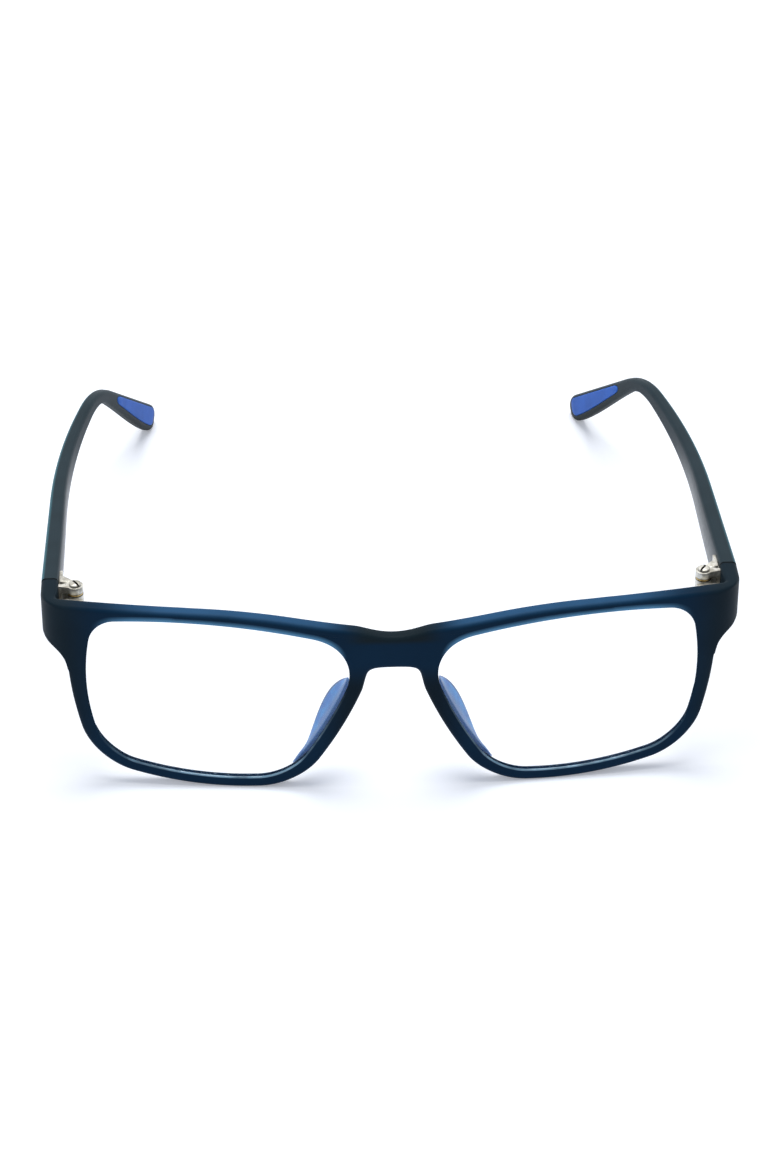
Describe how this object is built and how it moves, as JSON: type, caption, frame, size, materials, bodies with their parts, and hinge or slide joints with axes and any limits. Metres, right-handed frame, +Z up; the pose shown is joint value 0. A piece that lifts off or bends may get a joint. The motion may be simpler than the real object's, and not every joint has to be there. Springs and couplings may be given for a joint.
{
  "type": "blue light glasses",
  "caption": "Plastic-framed glasses with clear lenses, soft nose pads and temples that fold on screw-pinned hinges, with rubber grips let into the tips.",
  "frame": {"origin": "on the table, below the centre of the open glasses' box", "axes": "+Z up from the table, +Y from the front back towards the temple tips, +X to the wearer's left"},
  "size_m": [0.1388, 0.1486, 0.0421],
  "materials": {
    "front": "matte, dark navy",
    "temple": "matte, slate blue",
    "lens": "clear with a faint blue coating",
    "nose_pad": "translucent blue silicone",
    "grip": "matte, royal blue",
    "hinge": "nickel plated",
    "screw": "nickel plated",
    "washer": "plain"
  },
  "bodies": {
    "front": {"front_frame": "front", "left_lens": "lens", "right_lens": "lens", "left_nose_pad": "nose_pad", "right_nose_pad": "nose_pad", "left_front_hinge_leaf": "hinge", "right_front_hinge_leaf": "hinge", "left_hinge_screw": "screw", "right_hinge_screw": "screw", "left_upper_hinge_washer": "washer", "right_upper_hinge_washer": "washer", "left_lower_hinge_washer": "washer", "right_lower_hinge_washer": "washer"},
    "left_arm": {"left_temple": "temple", "left_tip_grip": "grip", "left_temple_hinge_leaf": "hinge"},
    "right_arm": {"right_temple": "temple", "right_tip_grip": "grip", "right_temple_hinge_leaf": "hinge"}
  },
  "joints": [
    {"name": "left_temple_fold", "type": "hinge", "parent": "front", "child": "left_arm", "pos_m": [0.06265, -0.05995, 0.03814], "axis": [0, 0, 1], "range_deg": [0, 85]},
    {"name": "right_temple_fold", "type": "hinge", "parent": "front", "child": "right_arm", "pos_m": [-0.06265, -0.05995, 0.03814], "axis": [0, 0, -1], "range_deg": [0, 76]}
  ]
}
